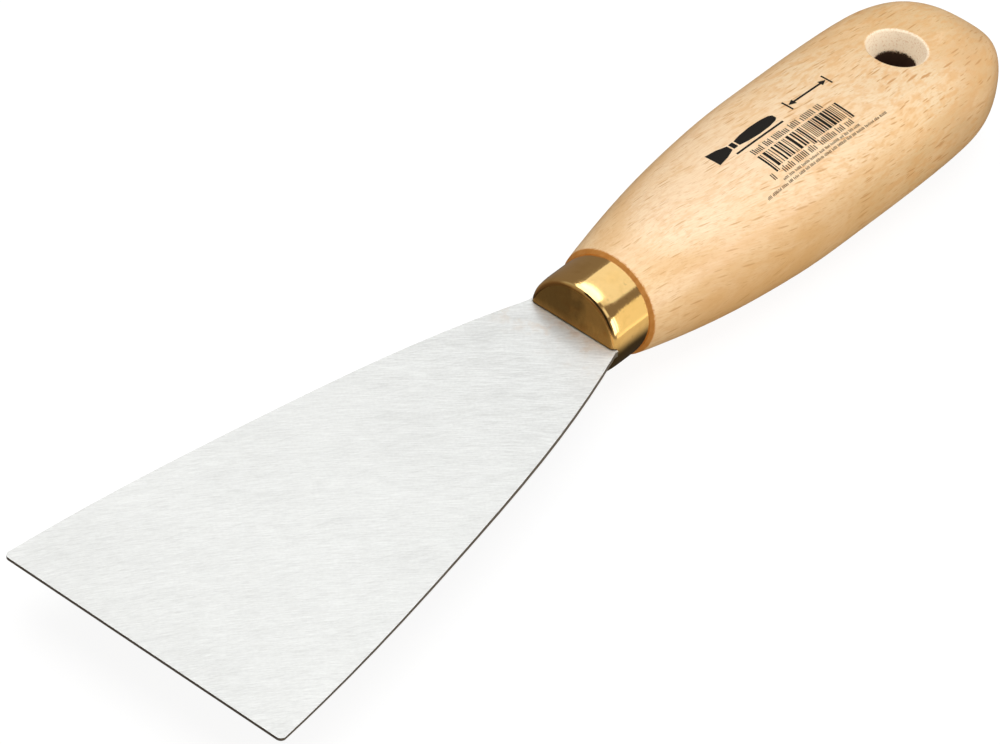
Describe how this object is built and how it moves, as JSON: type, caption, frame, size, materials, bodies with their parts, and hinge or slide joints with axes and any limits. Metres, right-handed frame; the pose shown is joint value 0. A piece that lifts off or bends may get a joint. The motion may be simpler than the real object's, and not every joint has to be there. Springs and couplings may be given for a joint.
{
  "type": "painter's spatula",
  "caption": "Flexible trapezoid steel blade, slotted brass ferrule and flattened beech handle with a hanging hole, for filling, scraping and smoothing.",
  "frame": {"origin": "middle of the hanging hole, on its axis and on the blade's mid plane", "axes": "+X along the tool from the hanging hole to the working edge, +Y across the blade, +Z square to the blade's flat, out of the handle's upper face"},
  "size_m": [0.2215, 0.0598, 0.0256],
  "materials": {
    "blade_steel": "fine ground across the blade, bright",
    "ferrule_brass": "polished",
    "handle_beech": "clear satin lacquer",
    "resin": "cured adhesive, hidden",
    "printed_ink": "black printed ink"
  },
  "bodies": {
    "root": {"blade": "blade_steel", "ferrule": "ferrule_brass", "handle": "handle_beech", "tang_adhesive": "resin"}
  },
  "joints": []
}
